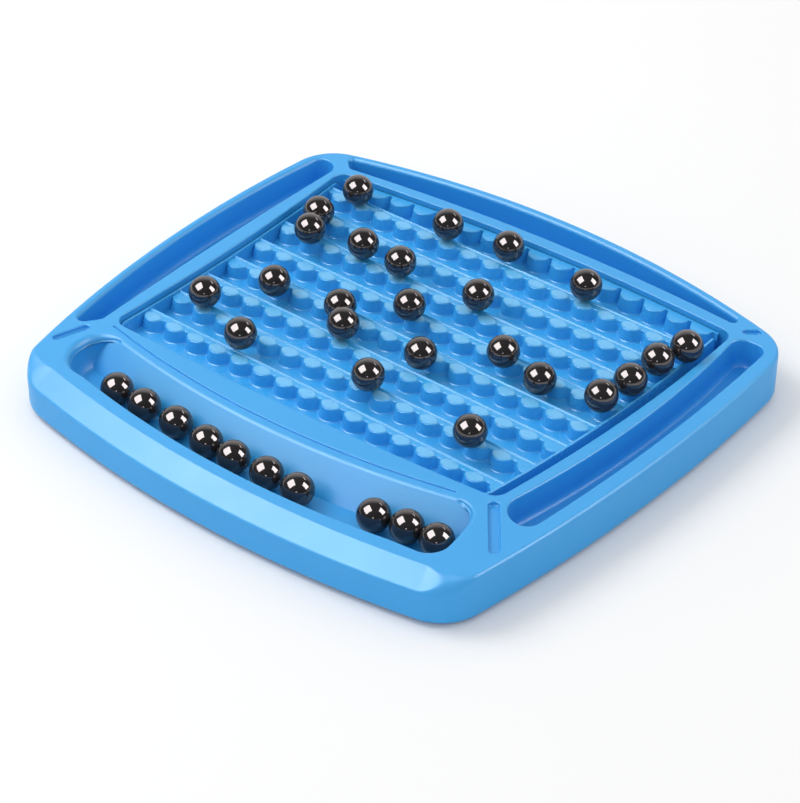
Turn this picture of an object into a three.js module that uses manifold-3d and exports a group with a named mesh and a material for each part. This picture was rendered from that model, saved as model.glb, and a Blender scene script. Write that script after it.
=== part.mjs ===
// Marble strategy tray: a moulded upper tray with crescent troughs, a scalloped play mat in its
// central well, a flat base cover on four rubber feet, and thirty-four loose polished marbles.
// Millimetres, +Z up, the origin under the middle of the tray, the long front trough towards -Y.
import * as THREE from 'three';
import { mergeVertices } from 'three/addons/utils/BufferGeometryUtils.js';
import Module from 'manifold-3d';

const wasm = await Module();
wasm.setup();

// Tray outline: four bowed sides joined by round corners
const trayHalfWidth = 118.2;
const trayHalfDepth = 110.2;
const sideBowRadius = 548;
const sideBowPeakY = 27.7;
const backBowRadius = 355;
const frontBowRadius = 463.5;
const trayCornerRadius = 19.5;
const rimTopZ = 20;
const shellBottomZ = 1.1;
const bottomEdgeRound = 2.4;
const rimEdgeRound = 1.5;

// Sloping shoulder along the front, which fades out at the corners
const shoulderRun = 8.5;
const shoulderDrop = 5.4;

// Front trough: a wide crescent with a sloping inner bank
const frontTroughOuterY = -96.6;
const frontTroughOuterBow = 397;
const frontTroughInnerY = -70.1;
const frontTroughInnerBow = 290;
const frontTroughHalfLength = 91.2;
const frontTroughEndBow = 260;
const frontTroughEndY = -84;
const frontTroughOuterCorner = 12;
const frontTroughInnerCorner = 9.5;
const frontTroughFootRound = 4;
const frontTroughFootRise = 9;
const bankAngle = (50 * Math.PI) / 180;

// Side and back troughs: narrow crescents with a round foot
const troughFloorZ = 8;
const narrowFootRound = 2;
const narrowFootRise = 3.2;
const sideTroughOuterX = 111.6;
const rightTroughInner = { peakX: 99.7, peakY: 38, bow: 415 };
const leftTroughInner = { peakX: 100.6, peakY: 95, bow: 2200 };
const troughEndBow = 60;
const rightTroughFrontEnd = { x: 98.2, y: -56.6, corner: 5.6 };
const rightTroughBackEnd = { x: 104.3, y: 86.1, corner: 5 };
const leftTroughFrontEnd = { x: 101.4, y: -60.4, corner: 2.8 };
const leftTroughBackEnd = { x: 104.6, y: 85.3, corner: 3.9 };
const leftTroughFrontSlant = (44 * Math.PI) / 180;
const backTroughInnerY = 94.6;
const backTroughInnerBow = 740;
const backTroughOuterY = 105.5;
const backTroughOuterBow = 420;
const backTroughEnd = { x: 91.4, y: 92.6, corner: 2.2 };
const backTroughEndFacing = (38 * Math.PI) / 180;
const troughEdgeChamfer = 0.8;

// Play field well
const wellFront = { y: -54.9, bow: 1500 };
const wellBack = { y: 86.1, bow: 1270 };
const wellRight = { peakX: 95.2, peakY: 58, bow: 620 };
const wellLeft = { peakX: 95.7, peakY: 95, bow: 2200 };
const wellCornerRadius = 5.5;
const wellFloorZ = 8.4;
const wellEdgeChamfer = 0.6;

// Fine groove beside the front trough, and the shallow slots in the corner webs
const grooveY = -66.7;
const grooveBow = 367;
const grooveHalfLength = 83;
const grooveWidth = 0.9;
const grooveDepth = 0.7;
const slotDepth = 1.7;
const slotEdgeChamfer = 0.6;
const slots = [
  { fromX: 87.6, fromY: -52.8, toX: 102.7, toY: -71.8, width: 4 },
  { fromX: -97.4, fromY: -64.2, toX: -102.9, toY: -74.6, width: 3.4 },
  { fromX: 97.2, fromY: 88.4, toX: 100.6, toY: 90.9, width: 3 },
];

// Shell walls, the hollow underneath, base cover, screws and feet
const outerWall = 3;
const topWall = 2.2;
const tubWall = 1.8;
const wellTubWall = 4.4;
const coverThickness = 2;
const coverClearance = 0.3;
const bossRadius = 3.6;
const boreRadius = 1.5;
const boreDepth = 10;
const frontBoss = { x: 98.3, y: -85.6 };
const backBoss = { x: 96.9, y: 88.4 };
const screwHeadRadius = 2.5;
const screwHeadHeight = 1.3;
const screwShankRadius = 1.4;
const screwLength = 8;
const screwSlotWidth = 0.8;
const screwCrossShare = 0.7;
const screwSlotDepth = 0.6;
const screwClearance = 0.3;
const footRadius = 6;
const footRecess = 0.9;
const footEdgeRound = 0.5;
const frontFoot = { x: 78, y: -80 };
const backFoot = { x: 80, y: 78 };

// Play mat: a floor plate with a lip on three edges and scalloped terraces
const matClearance = 0.4;
const matGutter = 5.7;
const matPlate = 2;
const matLipWidth = 1;
const matLipTopZ = 17.4;
const terraceTopZ = 16.6;
const terraceDepth = 7.1;
const terracePitch = 15.87;
const firstTerraceY = -37.2;
const terraceCount = 8;
const lobePitch = 11.2;
const lobeCount = 16;
const lobeMiddleX = -3;
const lobeTopRadius = 4.6;
const lobeFootRadius = 5.6;
const backLobeDepth = 3.6;
const webDepth = 3.2;
const ridgeWidth = 0.7;
const ridgeHeight = 0.35;

// Marbles
const marbleRadius = 6.35;
const marbleSeatGap = 0.12;

// Sides of the small round forms
const lobeSides = 10;
const boreSides = 10;
const bossSides = 14;
const footSides = 24;

// How far a facet may stray from its curve, and how far a cutter overruns the solid it cuts
const facetDrop = 0.12;
const coarsestDropShare = 0.25;
const overrun = 3;
const weldShare = 1e-6;
const full = Math.PI * 2;

const looks = {
  shell: { color: 0x4fa2e6, roughness: 0.34, metalness: 0 },
  mat: { color: 0x57ade9, roughness: 0.42, metalness: 0 },
  cover: { color: 0x4593d6, roughness: 0.5, metalness: 0 },
  marble: { color: 0x2a2624, roughness: 0.08, metalness: 0.9 },
  screw: { color: 0x9aa0a6, roughness: 0.35, metalness: 1 },
  foot: { color: 0x2b2d30, roughness: 0.85, metalness: 0 },
};

// Manifold joins and cuts on three.js geometry
function solid(geometry) {
  const plain = geometry.index ? geometry.toNonIndexed() : geometry.clone();
  plain.deleteAttribute('normal');
  plain.deleteAttribute('uv');
  const welded = mergeVertices(plain, facetDrop * weldShare);
  return new wasm.Manifold(new wasm.Mesh({
    numProp: 3,
    vertProperties: Float32Array.from(welded.attributes.position.array),
    triVerts: Uint32Array.from(welded.index.array),
  }));
}

function geometryOf(body) {
  const mesh = body.getMesh();
  const geometry = new THREE.BufferGeometry();
  geometry.setAttribute('position', new THREE.BufferAttribute(mesh.vertProperties, 3));
  geometry.setIndex(new THREE.BufferAttribute(mesh.triVerts, 1));
  return geometry;
}

function joined(bodies) {
  return bodies.reduce((whole, body) => whole.add(body));
}

function piece(name, body, look) {
  const geometry = body.isBufferGeometry ? body : geometryOf(body);
  const facets = geometry.index ? geometry.toNonIndexed() : geometry;
  facets.computeVertexNormals();
  const mesh = new THREE.Mesh(facets, new THREE.MeshStandardMaterial(look));
  mesh.name = name;
  return mesh;
}

function box(x0, x1, y0, y1, z0, z1) {
  const geometry = new THREE.BoxGeometry(x1 - x0, y1 - y0, z1 - z0);
  return solid(geometry.translate((x0 + x1) / 2, (y0 + y1) / 2, (z0 + z1) / 2));
}

// Upright round post, or a cone when its two radii differ
function post(place, footR, headR, z0, z1, sides) {
  const geometry = new THREE.CylinderGeometry(headR, footR, z1 - z0, sides);
  geometry.rotateX(Math.PI / 2);
  return solid(geometry.translate(place.x, place.y, (z0 + z1) / 2));
}

function disc(place, radius, z0, z1, sides) {
  return post(place, radius, radius, z0, z1, sides);
}

// Points along an arc, close enough together that no facet strays past facetDrop
function arcPoints(hub, radius, start, sweep) {
  const step = 2 * Math.acos(1 - Math.min(facetDrop / radius, coarsestDropShare));
  const count = Math.max(2, Math.ceil(Math.abs(sweep) / step));
  return Array.from({ length: count }, (_, i) => {
    const angle = start + (sweep * i) / count;
    return new THREE.Vector2(hub.x + radius * Math.cos(angle), hub.y + radius * Math.sin(angle));
  });
}

function bearing(from, to) {
  return Math.atan2(to.y - from.y, to.x - from.x);
}

function wrapped(angle) {
  return Math.atan2(Math.sin(angle), Math.cos(angle));
}

// Crossing point of two circles, the one nearest to a given place
function crossing(a, ra, b, rb, near) {
  const gap = Math.hypot(b.x - a.x, b.y - a.y);
  const along = (gap * gap + ra * ra - rb * rb) / (2 * gap);
  const across = Math.sqrt(Math.max(ra * ra - along * along, 0));
  const ux = (b.x - a.x) / gap;
  const uy = (b.y - a.y) / gap;
  const ends = [across, -across].map((s) => ({
    x: a.x + along * ux - s * uy,
    y: a.y + along * uy + s * ux,
  }));
  const reach = (p) => Math.hypot(p.x - near.x, p.y - near.y);
  return reach(ends[0]) < reach(ends[1]) ? ends[0] : ends[1];
}

// Closed outline of four bowed sides (front, right, back, left) and the round corner after each.
// A hollow side bows into the outline, and at is a place on a side. inset moves the outline inwards.
function bowedOutline({ sides, corners }, inset = 0) {
  const sense = sides.map((side) => (side.hollow ? -1 : 1));
  const hubs = corners.map((corner, i) => {
    const j = (i + 1) % sides.length;
    const ra = sides[i].r - sense[i] * corner;
    const rb = sides[j].r - sense[j] * corner;
    return crossing(sides[i], ra, sides[j], rb, (ra < rb ? sides[i] : sides[j]).at);
  });
  const points = [];
  sides.forEach((side, i) => {
    const start = bearing(side, hubs[(i + sides.length - 1) % sides.length]);
    const end = bearing(side, hubs[i]);
    points.push(...arcPoints(side, side.r - sense[i] * inset, start, wrapped(end - start)));
    const next = sides[(i + 1) % sides.length];
    const from = end + (side.hollow ? Math.PI : 0);
    const to = bearing(next, hubs[i]) + (next.hollow ? Math.PI : 0);
    const turn = (((to - from) % full) + full) % full;
    points.push(...arcPoints(hubs[i], corners[i] - inset, from, turn));
  });
  return points;
}

function upright(points, z0, z1) {
  const settings = { depth: z1 - z0, bevelEnabled: false };
  const geometry = new THREE.ExtrudeGeometry(new THREE.Shape(points), settings);
  return solid(geometry.translate(0, 0, z0));
}

// Upright body whose foot and head edges are rounded by round over a height of rise
function roundedUpright(points, z0, z1, round, rise, steps) {
  const geometry = new THREE.ExtrudeGeometry(new THREE.Shape(points), {
    depth: z1 - z0 - 2 * rise,
    bevelThickness: rise,
    bevelSize: round,
    bevelOffset: -round,
    bevelSegments: steps,
  });
  return solid(geometry.translate(0, 0, z0 + rise));
}

// Cutter for the chamfer round a mouth at the rim, from the mouth's outline grown by two chamfers
function chamferCutter(grownOutline, chamfer) {
  const flare = 2 * chamfer;
  return roundedUpright(grownOutline, rimTopZ - flare, rimTopZ + 2 * flare, flare, flare, 1);
}

function mouth(form, chamfer) {
  return chamferCutter(bowedOutline(form, -2 * chamfer), chamfer);
}

// Trough cutter with a rounded foot
function troughCutter(form, round, rise, steps) {
  const headZ = rimTopZ + rise + overrun;
  return roundedUpright(bowedOutline(form), troughFloorZ, headZ, round, rise, steps);
}

// Sides of the outlines as arcs
function frontSide(y, bow, isHollow = false) {
  return { x: 0, y: y + bow, r: bow, hollow: isHollow, at: { x: 0, y } };
}

function backSide(y, bow) {
  return { x: 0, y: y - bow, r: bow, at: { x: 0, y } };
}

function rightSide({ peakX, peakY, bow }, inset = 0) {
  return { x: peakX - bow, y: peakY, r: bow - inset, at: { x: peakX, y: peakY } };
}

function leftSide(edge, inset = 0) {
  const right = rightSide(edge, inset);
  return { ...right, x: -right.x, at: { x: -edge.peakX, y: edge.peakY } };
}

function hollowSide(side) {
  return { ...side, hollow: true };
}

// End wall of a narrow trough through a place, facing along an angle
function endSide(end, facing) {
  const x = end.x + troughEndBow * Math.cos(facing);
  const y = end.y + troughEndBow * Math.sin(facing);
  return { x, y, r: troughEndBow, at: end };
}

const trayEdge = { peakX: trayHalfWidth, peakY: sideBowPeakY, bow: sideBowRadius };
const trayForm = {
  corners: Array(4).fill(trayCornerRadius),
  sides: [
    frontSide(-trayHalfDepth, frontBowRadius),
    rightSide(trayEdge),
    backSide(trayHalfDepth, backBowRadius),
    leftSide(trayEdge),
  ],
};

const wellForm = {
  corners: Array(4).fill(wellCornerRadius),
  sides: [
    frontSide(wellFront.y, wellFront.bow),
    rightSide(wellRight),
    backSide(wellBack.y, wellBack.bow),
    leftSide(wellLeft),
  ],
};

const bankHub = { x: 0, y: frontTroughInnerY + frontTroughInnerBow };
const frontTroughForm = {
  corners: [frontTroughOuterCorner, frontTroughInnerCorner, frontTroughInnerCorner, frontTroughOuterCorner],
  sides: [
    frontSide(frontTroughOuterY, frontTroughOuterBow),
    rightSide({ peakX: frontTroughHalfLength, peakY: frontTroughEndY, bow: frontTroughEndBow }),
    frontSide(frontTroughInnerY, frontTroughInnerBow, true),
    leftSide({ peakX: frontTroughHalfLength, peakY: frontTroughEndY, bow: frontTroughEndBow }),
  ],
};

const sideTroughOuter = {
  peakX: sideTroughOuterX,
  peakY: sideBowPeakY,
  bow: sideBowRadius - trayHalfWidth + sideTroughOuterX,
};

function endCorners(front, back) {
  return [front.corner, back.corner, back.corner, front.corner];
}

const rightTroughForm = {
  corners: endCorners(rightTroughFrontEnd, rightTroughBackEnd),
  sides: [
    endSide(rightTroughFrontEnd, Math.PI / 2),
    rightSide(sideTroughOuter),
    endSide(rightTroughBackEnd, -Math.PI / 2),
    hollowSide(rightSide(rightTroughInner)),
  ],
};

function mirrored(place) {
  return { ...place, x: -place.x };
}

const leftTroughForm = {
  corners: endCorners(leftTroughFrontEnd, leftTroughBackEnd),
  sides: [
    endSide(mirrored(leftTroughFrontEnd), Math.PI / 2 + leftTroughFrontSlant),
    hollowSide(leftSide(leftTroughInner)),
    endSide(mirrored(leftTroughBackEnd), -Math.PI / 2),
    leftSide(sideTroughOuter),
  ],
};

const backTroughForm = {
  corners: Array(4).fill(backTroughEnd.corner),
  sides: [
    hollowSide(backSide(backTroughInnerY, backTroughInnerBow)),
    endSide(backTroughEnd, Math.PI - backTroughEndFacing),
    backSide(backTroughOuterY, backTroughOuterBow),
    endSide(mirrored(backTroughEnd), backTroughEndFacing),
  ],
};

const narrowTroughForms = [rightTroughForm, leftTroughForm, backTroughForm];

// Round-ended slot outline between two places
function slotOutline({ fromX, fromY, toX, toY, width }, grow = 0) {
  const from = { x: fromX, y: fromY };
  const to = { x: toX, y: toY };
  const way = bearing(from, to);
  const radius = width / 2 + grow;
  return [
    ...arcPoints(to, radius, way - Math.PI / 2, Math.PI),
    ...arcPoints(from, radius, way + Math.PI / 2, Math.PI),
  ];
}

function slotCutter(slot) {
  const well = upright(slotOutline(slot), rimTopZ - slotDepth, rimTopZ + overrun);
  return well.add(chamferCutter(slotOutline(slot, 2 * slotEdgeChamfer), slotEdgeChamfer));
}

// Ring that takes the sloping shoulder off the front; drop lowers it for the hollow beneath
function shoulderRing(drop) {
  const slope = shoulderDrop / shoulderRun;
  const inner = frontBowRadius - shoulderRun;
  const outer = frontBowRadius + shoulderRun;
  const profile = [
    [inner - overrun, rimTopZ + overrun * slope],
    [outer, rimTopZ - (outer - inner) * slope],
    [outer, rimTopZ + overrun * 2],
    [inner - overrun, rimTopZ + overrun * 2],
    [inner - overrun, rimTopZ + overrun * slope],
  ].map(([r, z]) => new THREE.Vector2(r, z));
  const turns = Math.ceil(Math.PI / Math.acos(1 - facetDrop / frontBowRadius));
  const geometry = new THREE.LatheGeometry(profile, turns);
  geometry.rotateX(Math.PI / 2);
  return solid(geometry.translate(0, frontBowRadius - trayHalfDepth, -drop));
}

// Cone whose side is the sloping bank of the front trough; inset thins it for the tub wall
function bankCone(inset) {
  const slack = overrun / Math.tan(bankAngle);
  const depth = rimTopZ - troughFloorZ;
  const head = frontTroughInnerBow - inset - slack;
  const foot = frontTroughInnerBow - inset + depth / Math.tan(bankAngle) + slack;
  const turns = Math.ceil(Math.PI / Math.acos(1 - facetDrop / frontTroughInnerBow));
  return post(bankHub, foot, head, troughFloorZ - overrun, rimTopZ + overrun, turns);
}

function frontTroughCutter() {
  const body = troughCutter(frontTroughForm, frontTroughFootRound, frontTroughFootRise, 4);
  return body.subtract(bankCone(0)).add(mouth(frontTroughForm, troughEdgeChamfer));
}

function narrowTroughCutter(form) {
  return troughCutter(form, narrowFootRound, narrowFootRise, 3).add(mouth(form, troughEdgeChamfer));
}

function grooveCutter() {
  const hub = { x: 0, y: grooveY + grooveBow };
  const half = Math.asin(grooveHalfLength / grooveBow);
  const outer = arcPoints(hub, grooveBow + grooveWidth / 2, -Math.PI / 2 - half, 2 * half);
  const inner = arcPoints(hub, grooveBow - grooveWidth / 2, -Math.PI / 2 + half, -2 * half);
  return upright([...outer, ...inner], rimTopZ - grooveDepth, rimTopZ + overrun);
}

function outerBody() {
  const outline = bowedOutline(trayForm);
  const [low, high] = [shellBottomZ, rimTopZ];
  const rounded = (z0, z1, round, steps) => roundedUpright(outline, z0, z1, round, round, steps);
  const footRounded = rounded(low, high + 2 * bottomEdgeRound, bottomEdgeRound, 4);
  const rimRounded = rounded(low - 2 * rimEdgeRound, high, rimEdgeRound, 3);
  return footRounded.intersect(rimRounded).subtract(shoulderRing(0));
}

const bossPlaces = [frontBoss, mirrored(frontBoss), backBoss, mirrored(backBoss)];
const footPlaces = [frontFoot, mirrored(frontFoot), backFoot, mirrored(backFoot)];
const coverTopZ = shellBottomZ + coverThickness;

// Hollow under the tray: everything inside the outer wall but the tubs and the screw bosses
function underside() {
  const cavity = upright(bowedOutline(trayForm, outerWall), shellBottomZ - overrun, rimTopZ - topWall);
  const tub = (form, wall, floorZ) => upright(bowedOutline(form, -wall), floorZ - tubWall, rimTopZ);
  const tubs = [
    ...narrowTroughForms.map((form) => tub(form, tubWall, troughFloorZ)),
    tub(frontTroughForm, tubWall, troughFloorZ).subtract(bankCone(tubWall / Math.sin(bankAngle))),
    tub(wellForm, wellTubWall, wellFloorZ),
  ];
  const bosses = bossPlaces.map((place) => disc(place, bossRadius, coverTopZ, rimTopZ, bossSides));
  return cavity.subtract(shoulderRing(topWall)).subtract(joined([...tubs, ...bosses]));
}

function bossBore(place) {
  return disc(place, boreRadius, coverTopZ - overrun, coverTopZ + boreDepth, boreSides);
}

function trayShell() {
  const cutters = [
    ...narrowTroughForms.map(narrowTroughCutter),
    frontTroughCutter(),
    upright(bowedOutline(wellForm), wellFloorZ, rimTopZ + overrun).add(mouth(wellForm, wellEdgeChamfer)),
    grooveCutter(),
    ...slots.map(slotCutter),
    ...bossPlaces.map(bossBore),
    underside(),
  ];
  return outerBody().subtract(joined(cutters));
}

function baseCover() {
  const plate = upright(bowedOutline(trayForm, outerWall + coverClearance), shellBottomZ, coverTopZ);
  const low = shellBottomZ - overrun;
  const holes = bossPlaces.flatMap((place) => [
    disc(place, boreRadius, low, coverTopZ + overrun, boreSides),
    disc(place, screwHeadRadius + screwClearance, low, shellBottomZ + screwHeadHeight, bossSides),
  ]);
  const recessRadius = footRadius + coverClearance;
  const recessZ = shellBottomZ + footRecess;
  const recesses = footPlaces.map((place) => disc(place, recessRadius, low, recessZ, footSides));
  return plate.subtract(joined([...holes, ...recesses]));
}

// Lathe profile turned about the upright axis of a place
function turned(place, profile, sides) {
  const points = profile.map(([r, z]) => new THREE.Vector2(r, z));
  const geometry = new THREE.LatheGeometry(points, sides);
  geometry.rotateX(Math.PI / 2);
  return solid(geometry.translate(place.x, place.y, 0));
}

function screw(place) {
  const headTop = shellBottomZ + screwHeadHeight;
  const body = turned(place, [
    [0, shellBottomZ],
    [screwHeadRadius, shellBottomZ],
    [screwHeadRadius, headTop],
    [screwShankRadius, headTop],
    [screwShankRadius, headTop + screwLength],
    [0, headTop + screwLength + screwShankRadius],
  ], bossSides);
  const half = screwSlotWidth / 2;
  const long = screwHeadRadius * screwCrossShare;
  const low = shellBottomZ - overrun;
  const high = shellBottomZ + screwSlotDepth;
  const cross = box(place.x - long, place.x + long, place.y - half, place.y + half, low, high)
    .add(box(place.x - half, place.x + half, place.y - long, place.y + long, low, high));
  return body.subtract(cross);
}

function foot(place) {
  return turned(place, [
    [0, 0],
    [footRadius - footEdgeRound, 0],
    [footRadius, footEdgeRound],
    [footRadius, shellBottomZ + footRecess],
    [0, shellBottomZ + footRecess],
  ], footSides);
}

// The mat follows the well on three sides and leaves a gutter on the right
function matFormWith(lip) {
  return {
    corners: Array(4).fill(wellCornerRadius - matClearance),
    sides: [
      frontSide(wellFront.y + matClearance + lip, wellFront.bow - matClearance - lip),
      rightSide(wellRight, matGutter + lip),
      backSide(wellBack.y - matClearance, wellBack.bow - matClearance),
      leftSide(wellLeft, matClearance + lip),
    ],
  };
}

const matTopZ = wellFloorZ + matPlate;
const lobeCentreBack = terraceDepth - (lobeTopRadius + lobeFootRadius) / 2;
const firstLobeX = lobeMiddleX - ((lobeCount - 1) / 2) * lobePitch;
const lobePlaces = Array.from({ length: lobeCount }, (_, j) => firstLobeX + j * lobePitch);
const terraceBacks = Array.from({ length: terraceCount }, (_, k) => firstTerraceY + k * terracePitch);
const fieldLowZ = matTopZ - matPlate / 2;

function lobe(x, y) {
  return post({ x, y }, lobeFootRadius, lobeTopRadius, fieldLowZ, terraceTopZ, lobeSides);
}

// One terrace: a straight web with a fine ridge on its back edge and a row of lobes on its front
function terrace(backY) {
  const strip = (depth, topZ) => box(-trayHalfWidth, trayHalfWidth, backY - depth, backY, fieldLowZ, topZ);
  const lobes = joined(lobePlaces.map((x) => lobe(x, backY - lobeCentreBack)));
  return joined([
    strip(webDepth, terraceTopZ),
    strip(ridgeWidth, terraceTopZ + ridgeHeight),
    lobes.intersect(strip(terracePitch, terraceTopZ + overrun)),
  ]);
}

function wellBackAt(x) {
  return wellBack.y - wellBack.bow + Math.sqrt(wellBack.bow ** 2 - x ** 2);
}

function playMat() {
  const plate = upright(bowedOutline(matFormWith(0)), wellFloorZ, matTopZ);
  const lip = upright(bowedOutline(matFormWith(0)), wellFloorZ, matLipTopZ)
    .subtract(upright(bowedOutline(matFormWith(matLipWidth)), wellFloorZ - overrun, matLipTopZ + overrun));
  const backLobes = lobePlaces.map((x) => {
    const y = wellBackAt(x) - matClearance - backLobeDepth + (lobeTopRadius + lobeFootRadius) / 2;
    return lobe(x, y);
  });
  const inside = upright(bowedOutline(matFormWith(matLipWidth / 2)), wellFloorZ, rimTopZ);
  const field = joined([...terraceBacks.map(terrace), ...backLobes]).intersect(inside);
  return joined([plate, lip, field]);
}

// Height of a marble's centre where it rests at a place on the play mat
function seatOnMat(x, y) {
  const over = (topZ, away) => (away < marbleRadius ? topZ + Math.sqrt(marbleRadius ** 2 - away ** 2) : 0);
  const heights = [matTopZ + marbleRadius];
  terraceBacks.forEach((backY) => {
    const strip = (depth) => Math.max(backY - depth - y, y - backY, 0);
    heights.push(over(terraceTopZ, strip(webDepth)));
    heights.push(over(terraceTopZ + ridgeHeight, strip(ridgeWidth)));
    if (y > backY) return;
    lobePlaces.forEach((lobeX) => {
      const away = Math.hypot(x - lobeX, y - backY + lobeCentreBack) - lobeTopRadius;
      heights.push(over(terraceTopZ, Math.max(away, 0)));
    });
  });
  const lipAway = rightSide(wellRight, matGutter + matLipWidth);
  heights.push(over(matLipTopZ, Math.max(lipAway.r - Math.hypot(x - lipAway.x, y - lipAway.y), 0)));
  const wall = rightSide(wellRight);
  heights.push(over(rimTopZ, Math.max(wall.r - Math.hypot(x - wall.x, y - wall.y), 0)));
  return Math.max(...heights) + marbleSeatGap;
}

// Height of a marble's centre in the front trough, on its floor or against the bank
function seatInTrough(x, y) {
  const out = Math.hypot(x - bankHub.x, y - bankHub.y) - frontTroughInnerBow;
  const onBank = rimTopZ - out * Math.tan(bankAngle) + marbleRadius / Math.cos(bankAngle);
  return Math.max(troughFloorZ + marbleRadius, onBank) + marbleSeatGap;
}

// Places of the marbles on the mat, counted in lobes from the middle of a row and in terraces
// from the back edge of the first terrace
const marblesOnMat = [
  [-6.69, 6.81], [-6.95, 5.48], [-6.36, 4.66], [-4.23, 4.95],
  [-2.49, 4.91], [-2.69, 6.98], [-0.22, 7.21], [3.39, 6.98],
  [-6.5, 0.88], [-5.22, 2.4], [-2.41, 2.55], [-1.59, 1.98],
  [-0.58, 3.61], [0.89, 4.97], [-3.93, 0.16], [1.38, 2.33],
  [3.56, 3.52], [0.92, 0.79], [5.29, 3.32], [5.41, 0.59],
  [7.54, 3.55], [7.74, 4.51], [7.79, 5.56], [8.18, 6.36],
];

// Places of the marbles in the front trough: along it as a share of its half length, and out
// from the foot of the bank as a share of a marble's radius
const marblesInTrough = [
  [-0.73, 1.37], [-0.57, 1.05], [-0.39, 0.74], [-0.21, 0.74],
  [-0.06, 0.74], [0.11, 0.67], [0.27, 0.82], [0.6, 0.5],
  [0.74, 0.5], [0.88, 0.86],
];

function marble(name, x, y, z) {
  const geometry = new THREE.IcosahedronGeometry(marbleRadius, 2);
  geometry.deleteAttribute('uv');
  return piece(name, geometry.translate(x, y, z), looks.marble);
}

function marbles() {
  const onMat = marblesOnMat.map(([lobes, terraces]) => {
    const x = lobeMiddleX + lobes * lobePitch;
    const y = firstTerraceY + terraces * terracePitch;
    return [x, y, seatOnMat(x, y)];
  });
  const inTrough = marblesInTrough.map(([along, out]) => {
    const x = along * frontTroughHalfLength;
    const bankFoot = frontTroughInnerBow + (rimTopZ - troughFloorZ) / Math.tan(bankAngle);
    const y = bankHub.y - Math.sqrt((bankFoot + out * marbleRadius) ** 2 - x ** 2);
    return [x, y, seatInTrough(x, y)];
  });
  const name = (i) => `ball_${String(i + 1).padStart(2, '0')}`;
  return [...onMat, ...inTrough].map(([x, y, z], i) => marble(name(i), x, y, z));
}

const part = new THREE.Group();
part.name = 'marble_strategy_tray';
part.add(piece('tray_shell', trayShell(), looks.shell));
part.add(piece('play_mat', playMat(), looks.mat));
part.add(piece('base_cover', baseCover(), looks.cover));
bossPlaces.forEach((place, i) => part.add(piece(`base_screw_${i + 1}`, screw(place), looks.screw)));
footPlaces.forEach((place, i) => part.add(piece(`foot_${i + 1}`, foot(place), looks.foot)));
part.add(...marbles());

export default part;
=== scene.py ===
import math

import bmesh
import bpy
import numpy as np
from mathutils import Matrix, Vector, noise
from mathutils.geometry import delaunay_2d_cdt


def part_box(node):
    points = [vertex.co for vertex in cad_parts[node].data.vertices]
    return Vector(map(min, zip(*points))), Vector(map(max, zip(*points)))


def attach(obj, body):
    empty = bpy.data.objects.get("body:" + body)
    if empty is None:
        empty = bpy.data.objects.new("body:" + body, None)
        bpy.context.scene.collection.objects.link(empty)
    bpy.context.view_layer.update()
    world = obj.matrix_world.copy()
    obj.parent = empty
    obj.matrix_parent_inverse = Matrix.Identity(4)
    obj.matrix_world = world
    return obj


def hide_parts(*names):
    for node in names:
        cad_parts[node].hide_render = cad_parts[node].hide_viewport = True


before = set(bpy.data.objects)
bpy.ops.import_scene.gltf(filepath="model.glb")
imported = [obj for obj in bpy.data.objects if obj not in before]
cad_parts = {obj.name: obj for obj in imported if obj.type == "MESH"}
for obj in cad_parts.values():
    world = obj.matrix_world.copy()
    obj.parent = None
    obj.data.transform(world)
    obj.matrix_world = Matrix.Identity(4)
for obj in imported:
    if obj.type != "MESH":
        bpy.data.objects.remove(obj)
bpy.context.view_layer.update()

# Lengths are in millimetres here and become metres when a mesh is made
MM = 0.001
UP = (0, 0, 1)
DOWN = (0, 0, -1)

# Heights of the tray
RIM = 20.0
UNDERSIDE = 1.1
COVER_ROOM_TOP = 4.0
TROUGH_FLOOR = 8.0
WELL_FLOOR = 8.4
WELL_MIDDLE = 14.0

# Edges of the tray: the sloping shoulder along the front, the rounds elsewhere and the round underneath
SHOULDER_WIDTH = 8.5
SHOULDER_DROP = 5.4
SHOULDER_CREASE = 1.3
SMALL_EDGE = 1.5
BIG_EDGE = 7.0
LOWER_EDGE = 2.4
SKIRT = 3.0
RIGHT_FADE = 0.5
LEFT_FADE = 0.75
ROUND_STARTS = 0.45
ROUND_SHRINKS = 0.55

# Mouths and feet of the hollows
FINE_MOUTH = 0.8
SOFT_MOUTH = 1.85
TROUGH_FOOT = 2.0
TROUGH_FOOT_RISE = 3.2
WELL_MOUTH = 0.6
SLOT_DEPTH = 1.7
SLOT_MOUTH = 0.55
SLOT_FOOT = 0.5

# Fine groove between the front trough and the well
GROOVE_HUB = (-16, 303.8)
GROOVE_BOW = 370.0
GROOVE_FIRST_X = -90.0
GROOVE_LAST_X = 72.6
GROOVE_WIDTH = 0.9
GROOVE_MOUTH = 0.3
GROOVE_WALL = 0.55
GROOVE_DEPTH = 0.7
GROOVE_FOOT = 0.15

# Front trough: bowl-shaped wall, sloping bank and the bead along the bank's top
BANK_HUB = np.array([-15.5, 285.15])
BANK_BOW = 355
BANK_SLOPE = math.radians(50)
BANK_TAN = math.tan(BANK_SLOPE)
BEAD = 2.5
BEAD_RUN = BEAD * math.tan(BANK_SLOPE / 2)
BOWL_RISE = 9.0
BOWL_FOOT = 4.0
WALL_MOUTH = 0.55
LEFT_END_MOUTH = 2.4
RIGHT_END_MOUTH = 1.5
MOUTH_STARTS = 0.8
MOUTH_GROWS = 0.16
LEAST_STEP = 0.05
FRONT_MIDDLE_X = -1.6
FRONT_HALF = 90.4
WALL_POINTS = 190
BANK_POINTS = 121

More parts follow.
